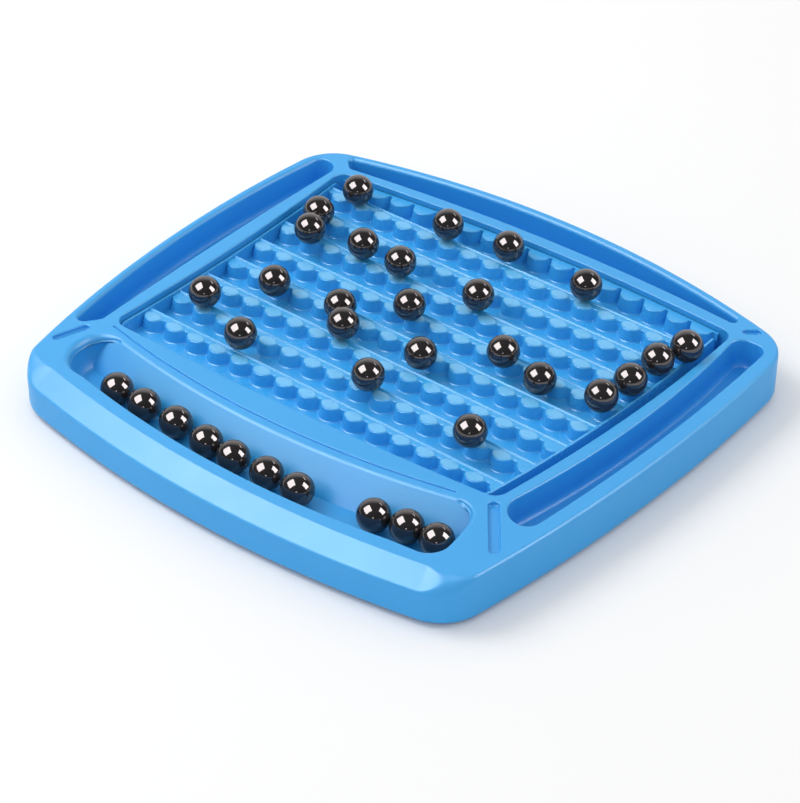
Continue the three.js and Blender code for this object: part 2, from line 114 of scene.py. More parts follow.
# Play mat
MAT_TOP = 11.3
WEB_TOP = 16.3
LOBE_TOP = 16.6
LIP_TOP = 17.4
RIDGE_TOP = LOBE_TOP + 0.35
NO_LIP = MAT_TOP + 0.02
MAT_GAP = 0.4
LIP_WIDTH = 1.0
LIP_EDGE = 0.28
ROW_PITCH = 15.87
FIRST_ROW_Y = -37.2
ROW_BACKS = [FIRST_ROW_Y + ROW_PITCH * k for k in range(8)]
LOBES = 16
LOBE_PITCH = 11.2
LOBE_MIDDLE_X = -3
LOBE_X = [LOBE_MIDDLE_X + (j - (LOBES - 1) / 2) * LOBE_PITCH for j in range(LOBES)]
LOBE_HUB = 2.0
LOBE_FOOT_RADIUS = 5.45
LOBE_LEAN = 0.85
LOBE_TOP_RADIUS = 4.6
WEB_FOOT_DEPTH = 3.9
WEB_LEAN = 0.7
WEB_TOP_DEPTH = 3.2
ROW_FILLET = 0.9
ROW_EDGE = 0.5
RIDGE_START = 1.15
RIDGE_WIDTH = 0.95
RIDGE_FOOT = 0.3
ROW_MIDDLE = 13.5
ROW_LEFT_GAP = 0.9
ROW_RIGHT_GAP = 6.2
BACK_ROW_Y = 84.0
BACK_HUB = 1.2
BACK_WEB = 0.9
CAP_BACK = 3.6
CAP_WIDE = 3.75
CAP_DEEP = 2.35
CAP_LEFT_GAP = 1.6
CAP_RIGHT_GAP = 6.9
CAP_RINGS = ((0.0, -0.3), (0.0, 0.3), (0.08, 0.5), (0.3, 0.68), (0.9, 0.84), (1.6, 0.95), (2.2, 1.0))

# Marbles: their waviness is a share of the radius
MARBLE_RADIUS = 6.35
MARBLE_SHRINK = 0.0012
WAVES = ((0.0022, 2.3), (0.0007, 5.3))


# Sides of an outline: hub, radius of the bow, 1 if it bows out and -1 if in, and a place on the side
def front_side(x, y, bow, sense=1):
    return (x, y + bow, bow, sense, (x, y))


def back_side(x, y, bow, sense=1):
    return (x, y - bow, bow, sense, (x, y))


def right_side(x, y, bow, sense=1):
    return (x - bow, y, bow, sense, (x, y))


def left_side(x, y, bow, sense=1):
    return (x + bow, y, bow, sense, (x, y))


def end_wall(x, y, facing, bow=60):
    """Short side of a trough; facing is the way towards its hub in degrees."""
    a = math.radians(facing)
    return (x + bow * math.cos(a), y + bow * math.sin(a), bow, 1, (x, y))


# Outlines: four sides in turn and the radii of the corners after them
TRAY = dict(
    sides=[front_side(0, -110.08, 463.5), right_side(118.1, 40, 700),
           back_side(3, 110.15, 365), left_side(-118.1, 27, 490)],
    corners=[19.5] * 4)
COVER_SPACE = dict(
    sides=[front_side(0, -110.2, 463.5), right_side(118.2, 27.7, 548),
           back_side(0, 110.2, 355), left_side(-118.2, 27.7, 548)],
    corners=[19.5] * 4)
WELL = dict(
    sides=[front_side(-70, -56.3, 1630), right_side(95.2, 58, 620),
           back_side(25, 89.0, 900), right_side(-91.9, -8, 950, -1)],
    corners=[5.5] * 4)
MAT = dict(
    sides=[front_side(-70, -55.9, 1629.6), right_side(89.5, 58, 614.3),
           back_side(25, 88.6, 899.6), right_side(-91.5, -8, 950.4, -1)],
    corners=[5.1] * 4)
RIGHT = dict(
    sides=[end_wall(98.2, -55.3, 72), right_side(111.5, 45, 780),
           end_wall(104.3, 86.1, -90), right_side(99.7, 38, 415, -1)],
    corners=[5.6, 5, 5, 9])
LEFT = dict(
    sides=[end_wall(-100, -61.3, 142), left_side(-99.7, 45, 2200, -1),
           end_wall(-104.6, 84.6, -90), left_side(-114.2, 24, 450)],
    corners=[2.8, 6.5, 4, 2.8])
BACK = dict(
    sides=[back_side(27, 94.7, 820, -1), end_wall(91.0, 93.4, 139),
           back_side(3, 106.2, 375), end_wall(-98.2, 88.8, 46)],
    corners=[2] * 4)
FRONT = dict(
    sides=[front_side(0, -96.6, 397), right_side(88.8, -86, 80),
           front_side(-15.5, -69.85, 355, -1), left_side(-92, -72, 120)],
    corners=[8, 8.5, 9.5, 14])
# Slots: the two ends and the width
SLOTS = [((87.6, -52.8), (102.7, -71.8), 4),
         ((-98.2, -66), (-101.9, -77.4), 3.2),
         ((98.0, 90.6), (101.2, 93.0), 3)]


# Closed rings of points with the normal that points away from the inside
def crossing(a, ra, b, rb, near):
    """Where two circles meet, on the side that is nearer to a place."""
    gap = math.hypot(b[0] - a[0], b[1] - a[1])
    along = (gap * gap + ra * ra - rb * rb) / (2 * gap)
    across = math.sqrt(max(ra * ra - along * along, 0))
    ux, uy = (b[0] - a[0]) / gap, (b[1] - a[1]) / gap
    ends = [(a[0] + along * ux - s * uy, a[1] + along * uy + s * ux) for s in (across, -across)]
    return min(ends, key=lambda p: math.hypot(p[0] - near[0], p[1] - near[1]))


def corner_hubs(sides, corners):
    hubs = []
    for i, corner in enumerate(corners):
        a, b = sides[i], sides[(i + 1) % 4]
        ra, rb = a[2] - a[3] * corner, b[2] - b[3] * corner
        hubs.append(crossing(a, ra, b, rb, (a if ra < rb else b)[4]))
    return hubs


def bearing(hub, side):
    """Angle from a side's hub to a corner's hub."""
    return math.atan2(hub[1] - side[1], hub[0] - side[0])


def outline(form, per_side, per_corner):
    """Points, normals, the side (0-3) or corner (4-7) that each point is on and its share along that."""
    sides, corners = form["sides"], form["corners"]
    hubs = corner_hubs(sides, corners)
    points, normals, where, share = [], [], [], []

    def arc(hub, radius, start, sweep, count, sign, tag):
        for k in range(count):
            angle = start + sweep * k / count
            c, s = math.cos(angle), math.sin(angle)
            points.append((hub[0] + radius * c, hub[1] + radius * s))
            normals.append((sign * c, sign * s))
            where.append(tag)
            share.append(k / count)

    for i, side in enumerate(sides):
        start, end = bearing(hubs[i - 1], side), bearing(hubs[i], side)
        sweep = math.atan2(math.sin(end - start), math.cos(end - start))
        arc(side, side[2], start, sweep, per_side, side[3], i)
        after = sides[(i + 1) % 4]
        first = end + (math.pi if side[3] < 0 else 0)
        last = bearing(hubs[i], after) + (math.pi if after[3] < 0 else 0)
        arc(hubs[i], corners[i], first, (last - first) % (2 * math.pi), per_corner, 1, i + 4)
    return np.array(points), np.array(normals), np.array(where), np.array(share)


def round_ended(a, b, width, count=12):
    """Ring of a straight slot with round ends."""
    way = math.atan2(b[1] - a[1], b[0] - a[0])
    points, normals = [], []
    for hub, start in ((b, way - math.pi / 2), (a, way + math.pi / 2)):
        for k in range(count + 1):
            angle = start + math.pi * k / count
            n = (math.cos(angle), math.sin(angle))
            points.append((hub[0] + n[0] * width / 2, hub[1] + n[1] * width / 2))
            normals.append(n)
    return np.array(points), np.array(normals)


def arc_band(hub, radius, first, last, width, count=90, cap=6):
    """Ring of a narrow curved band with round ends, from one x to another."""
    low, high = math.asin((first - hub[0]) / radius), math.asin((last - hub[0]) / radius)
    points, normals = [], []

    def put(p, n):
        points.append((p[0] + n[0] * width / 2, p[1] + n[1] * width / 2))
        normals.append(n)

    for sign, span in ((1, (low, high)), (-1, (high, low))):
        for k in range(count + 1):
            angle = -math.pi / 2 + span[0] + (span[1] - span[0]) * k / count
            c, s = math.cos(angle), math.sin(angle)
            put((hub[0] + radius * c, hub[1] + radius * s), (sign * c, sign * s))
        for k in range(1, cap):
            turn = angle + (0 if sign > 0 else math.pi) + math.pi * k / cap
            put((hub[0] + radius * c, hub[1] + radius * s), (math.cos(turn), math.sin(turn)))
    return np.array(points), np.array(normals)


# Profiles: (distance into the hollow, height) pairs
def quarter_turns(count):
    """Angles from nothing to a right angle in equal steps."""
    return [math.pi / 2 * k / count for k in range(count + 1)]


def quarter(radius, count):
    """From a flat top at distance -radius down to a vertical wall at distance 0, starting at the rim."""
    return [(-radius * (1 - math.sin(t)), RIM - radius * (1 - math.cos(t))) for t in quarter_turns(count)]


def hollow_profile(floor, mouth, foot, rise):
    """Rounded mouth, upright wall and rounded foot of a hollow."""
    head = quarter(mouth, 7)
    toe = [(foot * (1 - math.cos(t)), floor + rise * (1 - math.sin(t))) for t in quarter_turns(9)]
    low, high = toe[0][1], head[-1][1]
    wall = [(0.0, high + (low - high) * s) for s in (0.25, 0.5, 0.75)]
    return head + wall + toe


class Skin:
    """A welded mesh that keeps its own smooth normal at every face corner, and a share of painted highlight
    for every face.
    """

    WELD_STEPS_PER_MM = 500

    def __init__(self):
        self.index, self.points, self.faces, self.normals = {}, [], [], []
        self.tone, self.painted_highlights = 0.0, []

    def put(self, point):
        key = tuple(round(c * self.WELD_STEPS_PER_MM) for c in point)
        if key not in self.index:
            self.index[key] = len(self.points)
            self.points.append(tuple(float(c) for c in point))
        return self.index[key]

    def face(self, points, normals):
        """One face, turned so that it faces the way its normals point."""
        kept, kept_normals = [], []
        for p, n in zip(points, normals):
            i = self.put(p)
            if i not in kept:
                kept.append(i)
                kept_normals.append(n)
        if len(kept) < 3:
            return
        a, b, c = (np.array(self.points[kept[k]]) for k in (0, 1, 2))
        up = np.cross(b - a, c - a)
        if len(kept) == 4:
            up = np.cross(c - a, np.array(self.points[kept[3]]) - b)
        if np.dot(up, np.sum(kept_normals, axis=0)) < 0:
            kept.reverse()
            kept_normals.reverse()
        self.faces.append(kept)
        self.painted_highlights.append(self.tone)
        self.normals.extend(tuple(float(c) for c in n) for n in kept_normals)

    def grid(self, p, wrap, hint, first=None, last=None):
        """Smooth surface through rows of points. hint(points) says which way it faces; first and last force
        the normal of the first and last row."""
        ahead = np.roll(p, -1, 1) - np.roll(p, 1, 1)
        if not wrap:
            ahead[:, 0], ahead[:, -1] = p[:, 1] - p[:, 0], p[:, -1] - p[:, -2]
        down = np.empty_like(p)
        down[1:-1] = p[2:] - p[:-2]
        down[0], down[-1] = p[1] - p[0], p[-1] - p[-2]
        n = np.cross(ahead, down)
        n = n / np.maximum(np.linalg.norm(n, axis=2, keepdims=True), 1e-12)
        if np.sum(n * hint(p)) < 0:
            n = -n
        if first is not None:
            n[0] = first
        if last is not None:
            n[-1] = last
        rows, cols = p.shape[:2]
        for r in range(rows - 1):
            for c in range(cols if wrap else cols - 1):
                d = (c + 1) % cols
                corners = ((r, c), (r, d), (r + 1, d), (r + 1, c))
                self.face([p[q] for q in corners], [n[q] for q in corners])

    def flat(self, loops, z, normal=UP):
        """Level face within the first loop and outside the others."""
        verts, edges = [], []
        for loop in loops:
            base = len(verts)
            verts += [Vector((float(x), float(y))) for x, y in loop]
            edges += [(base + k, base + (k + 1) % len(loop)) for k in range(len(loop))]
        out, _, tris, *_ = delaunay_2d_cdt(verts, edges, [], 0, 1e-5)
        place = np.array([tuple(v) for v in out])
        middle = np.array([place[list(t)].mean(0) for t in tris])
        keep = within(middle, loops[0])
        for loop in loops[1:]:
            keep &= ~within(middle, loop)
        for t in np.flatnonzero(keep):
            self.face([(*place[k], z) for k in tris[t]], [normal] * 3)

    def make(self, name):
        mesh = bpy.data.meshes.new(name)
        mesh.from_pydata([tuple(c * MM for c in p) for p in self.points], [], self.faces)
        mesh.polygons.foreach_set("use_smooth", [True] * len(mesh.polygons))
        mesh.normals_split_custom_set(self.normals)
        mesh.attributes.new("tone", "FLOAT", "FACE").data.foreach_set("value", self.painted_highlights)
        mesh.update()
        return linked(name, mesh)


def linked(name, data):
    """A new object in the scene."""
    thing = bpy.data.objects.new(name, data)
    bpy.context.scene.collection.objects.link(thing)
    return thing


def within(points, loop):
    """Which points lie inside a closed loop, by counting crossings."""
    x, y = points[:, 0], points[:, 1]
    hit = np.zeros(len(points), bool)
    loop = np.asarray(loop, float)
    for (ax, ay), (bx, by) in zip(loop, np.roll(loop, -1, 0)):
        if ay == by:
            continue
        side = (ay > y) != (by > y)
        hit ^= side & (x < (bx - ax) * (y - ay) / (by - ay) + ax)
    return hit


def raised(xy, z):
    """Points of a plan put at a height, which may change from point to point."""
    return np.column_stack([xy, np.broadcast_to(z, len(xy))])


def swept(points, normals, profile):
    """Rows of a ring moved into the hollow and put at the heights of a profile."""
    rows = []
    for d, z in profile:
        d = np.broadcast_to(d, len(points))[:, None]
        rows.append(raised(points - d * normals, z))
    return np.array(rows)


def upward(p):
    return np.broadcast_to(np.array([0, 0, 1.0]), p.shape)


def outward(p):
    q = p.copy()
    q[..., 2] = 0
    return q


def inward(p):
    return -outward(p)


def smooth(t):
    t = np.clip(t, 0, 1)
    return t * t * (3 - 2 * t)


# The tray
def shoulder_profile():
    """Sloping shoulder between a fine crease at the rim and a small round at the upright wall."""
    slope = math.atan2(SHOULDER_DROP, SHOULDER_WIDTH)
    start_x = SHOULDER_WIDTH + SHOULDER_CREASE * math.tan(slope / 2)
    profile = []
    for k in range(5):
        t = slope * k / 4
        profile.append((start_x - SHOULDER_CREASE * math.sin(t), RIM - SHOULDER_CREASE * (1 - math.cos(t))))
    turn = math.pi / 2 - slope
    run = SMALL_EDGE * math.tan(turn / 2)
    a = profile[4]
    b = (run * math.cos(slope), RIM - SHOULDER_WIDTH * math.tan(slope) + run * math.sin(slope))
    for s in (0.34, 0.67):
        profile.append((a[0] + (b[0] - a[0]) * s, a[1] + (b[1] - a[1]) * s))
    hub_z = b[1] - SMALL_EDGE * math.cos(slope)
    for k in range(9):
        t = slope + turn * k / 8
        profile.append((SMALL_EDGE - SMALL_EDGE * math.sin(t), hub_z + SMALL_EDGE * math.cos(t)))
    return profile


def round_profile(radius):
    """Round edge with as many points as the shoulder has."""
    return [(radius * (1 - math.sin(t)), RIM - radius * (1 - math.cos(t))) for t in quarter_turns(15)]


def edge_shares(where, share):
    """How much of the shoulder, the big round and the small round each place of the outline has."""
    shoulder = np.zeros(len(where))
    bulge = np.zeros(len(where))
    shoulder[where == 0] = 1
    for corner, along, fade in ((4, share, RIGHT_FADE), (7, 1 - share, LEFT_FADE)):
        on = where == corner
        shoulder[on] = 1 - smooth(along[on] / fade)
        bulge[on] = smooth(along[on] / fade) * (1 - smooth((along[on] - ROUND_STARTS) / ROUND_SHRINKS))
    return shoulder, bulge, 1 - shoulder - bulge


def outer_wall(skin):
    """Outside of the tray from the rim to the underside; returns the loops at its two ends."""
    points, normals, where, share = outline(TRAY, per_side=64, per_corner=30)
    shares = edge_shares(where, share)
    rows = []
    for edges in zip(shoulder_profile(), round_profile(BIG_EDGE), round_profile(SMALL_EDGE)):
        d, z = (sum(part * edge[axis] for part, edge in zip(shares, edges)) for axis in (0, 1))
        rows.append(raised(points - d[:, None] * normals, z))
    low = rows[-1][:, 2]
    for s in (0.3, 0.6, 0.9):
        rows.append(raised(points, low + (UNDERSIDE + LOWER_EDGE - low) * s))
    for t in quarter_turns(7):
        ring = points - LOWER_EDGE * (1 - math.cos(t)) * normals
        rows.append(raised(ring, UNDERSIDE + LOWER_EDGE * (1 - math.sin(t))))
    skin.grid(np.array(rows), True, outward, first=UP, last=DOWN)
    return rows[0][:, :2], rows[-1][:, :2]


def cover_room(skin, foot_loop):
    """Inside of the skirt, where the base cover sits, and the narrow face under the skirt."""
    ring, face, *_ = outline(COVER_SPACE, per_side=64, per_corner=30)
    rows = swept(ring, face, [(SKIRT, UNDERSIDE), (SKIRT, COVER_ROOM_TOP)])
    skin.grid(rows, True, inward)
    skin.flat([foot_loop, rows[0][:, :2]], UNDERSIDE, DOWN)


def hollow(skin, ring, face, profile, foot=None):
    """Walls along a profile and a level floor; returns the mouth's loop. foot is the normal at the floor."""
    rows = swept(ring, face, profile)
    skin.grid(rows, True, upward, first=UP, last=foot)
    skin.flat([rows[-1][:, :2]], profile[-1][1])
    return rows[0][:, :2]


def mouth_radii(where, share, soft_side):
    """Radius of a trough's mouth at each point: softer along one side."""
    mouth = np.full(len(where), FINE_MOUTH)
    if soft_side is not None:
        mouth[where == soft_side] = SOFT_MOUTH
        before, after = where == 4 + (soft_side - 1) % 4, where == 4 + soft_side
        mouth[before] = FINE_MOUTH + (SOFT_MOUTH - FINE_MOUTH) * smooth(share[before])
        mouth[after] = SOFT_MOUTH + (FINE_MOUTH - SOFT_MOUTH) * smooth(share[after])
    return mouth


def side_trough(skin, form, soft_side, per_side):
    ring, face, where, share = outline(form, per_side, per_corner=12)
    mouth = mouth_radii(where, share, soft_side)
    return hollow(skin, ring, face, hollow_profile(TROUGH_FLOOR, mouth, TROUGH_FOOT, TROUGH_FOOT_RISE), UP)


def well(skin):
    ring, face, *_ = outline(WELL, per_side=60, per_corner=12)
    return hollow(skin, ring, face, quarter(WELL_MOUTH, 5) + [(0, WELL_MIDDLE), (0, WELL_FLOOR)])


def groove(skin):
    ring, face = arc_band(GROOVE_HUB, GROOVE_BOW, GROOVE_FIRST_X, GROOVE_LAST_X, GROOVE_WIDTH)
    foot = [(0.0, RIM - GROOVE_WALL), (GROOVE_FOOT, RIM - GROOVE_DEPTH)]
    return hollow(skin, ring, face, quarter(GROOVE_MOUTH, 4) + foot)


def slot(skin, a, b, width):
    ring, face = round_ended(a, b, width)
    return hollow(skin, ring, face, hollow_profile(RIM - SLOT_DEPTH, SLOT_MOUTH, SLOT_FOOT, SLOT_FOOT), UP)


def tray_skin():
    skin = Skin()
    rim_loop, foot_loop = outer_wall(skin)
    cover_room(skin, foot_loop)
    holes = [
        side_trough(skin, RIGHT, None, 48),
        side_trough(skin, LEFT, 3, 48),
        side_trough(skin, BACK, 2, 56),
        well(skin),
        groove(skin)]
    holes += [slot(skin, a, b, width) for a, b, width in SLOTS]
    holes.append(front_trough(skin))
    skin.flat([rim_loop] + holes, RIM)
    return skin


# The front trough
def wall_path():
    """The trough's outline without the bank's side, from the bank's left end round to its right end."""
    ring, face, where, _ = outline(FRONT, per_side=96, per_corner=36)
    order = np.concatenate([np.flatnonzero(where == k) for k in (6, 3, 7, 0, 4, 1, 5)])
    return ring[order], face[order]


def clipped(path, out, inset, z):
    """The wall at one height between its two crossings with the bank, its normals and the bank's radius."""
    p = path - inset * out
    radius = BANK_BOW + (RIM - z) / BANK_TAN
    r = np.hypot(*(p - BANK_HUB).T)
    inside = np.flatnonzero(r >= radius)
    a, b = inside[0], inside[-1]

    def cut(i, j):
        t = (radius - r[i]) / (r[j] - r[i])
        return p[i] + (p[j] - p[i]) * t, out[i] + (out[j] - out[i]) * t

    head = cut(a - 1, a) if a > 0 else (p[a], out[a])
    tail = cut(b, b + 1) if b + 1 < len(p) else (p[b], out[b])
    wall, away = evened(np.vstack([head[0], p[a:b + 1], tail[0]]), np.vstack([head[1], out[a:b + 1], tail[1]]))
    return wall, away, radius


def evened(points, normals):
    """The same line with evenly spaced points."""
    run = np.concatenate([[0], np.cumsum(np.hypot(*np.diff(points, axis=0).T))])
    at = np.linspace(0, run[-1], WALL_POINTS)
    p, n = (np.column_stack([np.interp(at, run, line[:, k]) for k in (0, 1)]) for line in (points, normals))
    return p, n / np.linalg.norm(n, axis=1, keepdims=True)


def bank_row(wall, radius, z):
    """One level line of the bank, from the wall's last point back to its first."""
    start, end = (math.atan2(*(wall[k] - BANK_HUB)[::-1]) for k in (-1, 0))
    turn = math.atan2(math.sin(end - start), math.cos(end - start))
    angles = start + turn * np.linspace(0, 1, BANK_POINTS)
    return raised(BANK_HUB + radius * np.column_stack([np.cos(angles), np.sin(angles)]), z)


def front_mouth(x):
    """Radius of the mouth: soft at the ends, fine along the front, and level with the bead where they meet."""
    near = np.abs(x - FRONT_MIDDLE_X) / FRONT_HALF
    grown = smooth((near - MOUTH_STARTS) / MOUTH_GROWS)
    mouth = WALL_MOUTH + np.where(x < 0, LEFT_END_MOUTH, RIGHT_END_MOUTH) * grown
    edge = np.minimum(np.arange(WALL_POINTS), WALL_POINTS - 1 - np.arange(WALL_POINTS)) / 10
    return BEAD_RUN + (mouth - BEAD_RUN) * smooth(edge)


def trough_top(path, out):
    """Rows of the wall's mouth and of the bank's bead, and the mouth's lowest height."""
    line, away, radius = clipped(path, out, 0.0, RIM)
    mouth = front_mouth(line[:, 0])
    wall, bank = [], []
    steps = 8
    for k, t in enumerate(quarter_turns(steps)):
        grown = line + (mouth * (1 - math.sin(t)))[:, None] * away
        wall.append(raised(grown, RIM - mouth * (1 - math.cos(t))))
        tilt = BANK_SLOPE * k / steps
        bead_radius = radius - BEAD_RUN + BEAD * math.sin(tilt)
        bank.append(bank_row(line, bead_radius, RIM - BEAD * (1 - math.cos(tilt))))
    return wall, bank, RIM - mouth.max()


def front_trough(skin):
    """Crescent with bowl-shaped walls and ends and a sloping inner bank that meets the ends in a crease."""
    path, out = wall_path()
    wall, bank, mouth_foot = trough_top(path, out)
    for turn in quarter_turns(16):
        z = TROUGH_FLOOR + BOWL_RISE * (1 - math.sin(turn))
        if z > mouth_foot - LEAST_STEP:
            continue
        t = max(0.0, 1 - (z - TROUGH_FLOOR) / BOWL_RISE)
        line, _, radius = clipped(path, out, BOWL_FOOT * (1 - math.sqrt(max(1 - t * t, 0))), z)
        wall.append(raised(line, z))
        bank.append(bank_row(line, radius, z))
    wall, bank = np.array(wall), np.array(bank)
    wall[:, -1], wall[:, 0] = bank[:, 0], bank[:, -1]
    skin.grid(wall, False, upward, first=UP, last=UP)
    skin.grid(bank, False, upward, first=UP)
    mouth_loop, floor_loop = (np.vstack([wall[k][:, :2], bank[k][1:-1, :2]]) for k in (0, -1))
    skin.flat([floor_loop], TROUGH_FLOOR)
    return mouth_loop


# The play mat
def right_edge(y, inset):
    """x of the well's right wall, moved into the well."""
    hub_x, hub_y, bow, *_ = WELL["sides"][1]
    return hub_x + np.sqrt((bow - inset) ** 2 - (y - hub_y) ** 2)


def left_edge(y, inset):
    hub_x, hub_y, bow, *_ = WELL["sides"][3]
    return hub_x + np.sqrt((bow + inset) ** 2 - (y - hub_y) ** 2)


def back_edge(x, inset):
    hub_x, hub_y, bow, *_ = WELL["sides"][2]
    return hub_y + np.sqrt((bow - inset) ** 2 - (x - hub_x) ** 2)


def lip_heights(where, share):
    """Height of the mat's edge: a lip on three sides and none along the back."""
    lip = np.full(len(where), LIP_TOP)
    lip[where == 2] = NO_LIP
    for corner, along in ((5, share), (6, 1 - share)):
        on = where == corner
        lip[on] = LIP_TOP + (NO_LIP - LIP_TOP) * smooth(along[on])
    return lip


def mat_base(skin):
    """Outside of the mat, the rounded lip and the floor between the rows."""
    ring, face, where, share = outline(MAT, per_side=60, per_corner=14)
    lip = lip_heights(where, share)
    rows = [raised(ring, WELL_FLOOR)]
    for t in quarter_turns(4):
        rows.append(raised(ring - LIP_EDGE * (1 - math.cos(t)) * face, lip - LIP_EDGE * (1 - math.sin(t))))
    for t in quarter_turns(4)[1:]:
        inset = LIP_WIDTH - LIP_EDGE * (1 - math.sin(t))
        rows.append(raised(ring - inset * face, lip - LIP_EDGE * (1 - math.cos(t))))
    rows.append(raised(ring - LIP_WIDTH * face, MAT_TOP))
    skin.grid(np.array(rows), True, upward)
    skin.flat([rows[-1][:, :2]], MAT_TOP)


def lobe_samples():
    """Places across a row, closer together where the lobes turn."""
    xs = []
    for x in [LOBE_X[0] - LOBE_PITCH] + LOBE_X + [LOBE_X[-1] + LOBE_PITCH]:
        xs += [x + LOBE_PITCH / 2 * math.sin(math.pi * (k / 14 - 0.5)) for k in range(14)]
    return np.array(xs + [LOBE_X[-1] + LOBE_PITCH * 1.5])


def row_ends(xs, y):
    """The places across a row kept between the left lip and the gutter on the right."""
    return np.clip(xs, left_edge(y, ROW_LEFT_GAP), right_edge(y, ROW_RIGHT_GAP))


def row_depth(x, radius, web, hub):
    """How far a row reaches forward at one height: round lobes before a straight web."""
    depth = np.full(len(x), web)
    for c in LOBE_X:
        inside = np.maximum(radius ** 2 - (x - c) ** 2, 0)
        depth = np.maximum(depth, np.where(inside > 0, hub + np.sqrt(inside), 0))
    return depth


def terrace_levels(top):
    """(height, lobe radius, web depth) from the foot fillet up to the rounded top edge."""
    levels = []
    for t in quarter_turns(4):
        grow = ROW_FILLET * (1 - math.sin(t))
        z = MAT_TOP + ROW_FILLET * (1 - math.cos(t))
        levels.append((z, LOBE_FOOT_RADIUS + grow, WEB_FOOT_DEPTH + grow))
    for s in (0.35, 0.7):
        z = MAT_TOP + ROW_FILLET + (top - ROW_EDGE - MAT_TOP - ROW_FILLET) * s
        levels.append((z, LOBE_FOOT_RADIUS - LOBE_LEAN * s, WEB_FOOT_DEPTH - WEB_LEAN * s))
    for t in quarter_turns(5):
        shrink = ROW_EDGE * (1 - math.cos(t))
        z = top - ROW_EDGE * (1 - math.sin(t))
        levels.append((z, LOBE_TOP_RADIUS - shrink, WEB_TOP_DEPTH - shrink))
    return levels


def row_line(front, z):
    """Points of one level line of a row; front(x) is its y."""
    xs = lobe_samples()
    x = row_ends(xs, front(xs))
    return raised(np.column_stack([x, front(x)]), z)


def straight_line(y, z):
    return row_line(lambda x: np.full(len(x), y), z)


def terrace(skin, back):
    """One row: scalloped front, top, a fine ridge along the back and the step down behind it."""
    inner = straight_line(back - RIDGE_START, WEB_TOP)
    rows = []
    for z, radius, web in terrace_levels(WEB_TOP):
        rows.append(row_line(lambda x: back - row_depth(x, radius, web, LOBE_HUB), z))
    skin.grid(np.array(rows + [inner]), False, upward, first=UP, last=UP)
    rows = [inner]
    for k in range(1, 8):
        t = math.pi * k / 8
        y = back - RIDGE_WIDTH / 2 - RIDGE_WIDTH / 2 * math.cos(t)
        rows.append(straight_line(y, WEB_TOP + (RIDGE_TOP - WEB_TOP) * math.sin(t)))
    for z in (WEB_TOP - RIDGE_FOOT, ROW_MIDDLE, MAT_TOP + ROW_FILLET):
        rows.append(straight_line(back, z))
    for t in quarter_turns(4)[1:]:
        y = back + ROW_FILLET * (1 - math.cos(t))
        rows.append(straight_line(y, MAT_TOP + ROW_FILLET * (1 - math.sin(t))))
    skin.grid(np.array(rows), False, upward, first=UP, last=UP)


def back_row(skin):
    """Lobes along the back wall, joined by a narrow web and as high as the lip."""
    xs = lobe_samples()
    x = row_ends(xs, np.full(len(xs), BACK_ROW_Y))
    wall = back_edge(x, MAT_GAP)
    rows = []
    for z, radius, _ in terrace_levels(LIP_TOP):
        rows.append(raised(np.column_stack([x, wall - row_depth(x, radius, BACK_WEB, BACK_HUB)]), z))
    rows.append(raised(np.column_stack([x, wall]), LIP_TOP))
    skin.grid(np.array(rows), False, upward, first=UP, last=UP)


def lobe_cap(skin, x, back):
    """Low domed oval on a lobe, in front of the ridge behind it."""
    y = back - CAP_BACK
    if x + CAP_WIDE > right_edge(y, CAP_RIGHT_GAP) or x - CAP_WIDE < left_edge(y, CAP_LEFT_GAP):
        return
    turns = np.linspace(0, 2 * math.pi, 28, endpoint=False)
    rows = []
    for d, share in CAP_RINGS:
        oval = np.column_stack([x + (CAP_WIDE - d) * np.cos(turns), y + (CAP_DEEP - d) * np.sin(turns)])
        rows.append(raised(oval, WEB_TOP + (LOBE_TOP - WEB_TOP) * share))
    skin.grid(np.array(rows), True, upward, last=UP)
    skin.flat([rows[-1][:, :2]], LOBE_TOP)


def mat_skin():
    skin = Skin()
    mat_base(skin)
    for back in ROW_BACKS:
        terrace(skin, back)
    back_row(skin)
    # The lobe caps are marked for the paler colour, a painted highlight on their domed tops.
    skin.tone = 1.0
    for back in ROW_BACKS:
        for x in LOBE_X:
            lobe_cap(skin, x, back)
    return skin


# Marbles
def hash_share(name, k):
    """A fixed number from 0 to 1 for a name."""
    prime = 99991
    value = 7 + 31 * k
    for letter in name:
        value = (value * 131 + ord(letter)) % prime
    return value / prime


def mesh_from(bm, name):
    mesh = bpy.data.meshes.new(name)
    bm.to_mesh(mesh)
    bm.free()
    return mesh


def marble(name):
    """A very slightly wavy ball in the middle of the marble's place, turned its own way."""
    low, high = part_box(name)
    bm = bmesh.new()
    bmesh.ops.create_icosphere(bm, subdivisions=5, radius=1.0)
    seed = Vector([hash_share(name, k) * 40 for k in range(3)])
    for v in bm.verts:
        n = v.co.normalized()
        swell = sum(height * noise.noise(n * pace + seed) for height, pace in WAVES)
        v.co = n * (MARBLE_RADIUS * MM) * (1 - MARBLE_SHRINK + swell)
    mesh = mesh_from(bm, name + "_polished")
    mesh.polygons.foreach_set("use_smooth", [True] * len(mesh.polygons))
    mesh.transform(Matrix.Rotation(seed.x, 4, "X") @ Matrix.Rotation(seed.y, 4, "Z"))
    ball = linked(name + "_polished", mesh)
    ball.location = (low + high) / 2
    return ball


# Materials
def linear(level):
    """Linear light of one 8-bit channel."""
    share = level / 255
    return share / 12.92 if level <= 10 else ((share + 0.055) / 1.055) ** 2.4


def srgb(r, g, b):
    return (linear(r), linear(g), linear(b), 1.0)


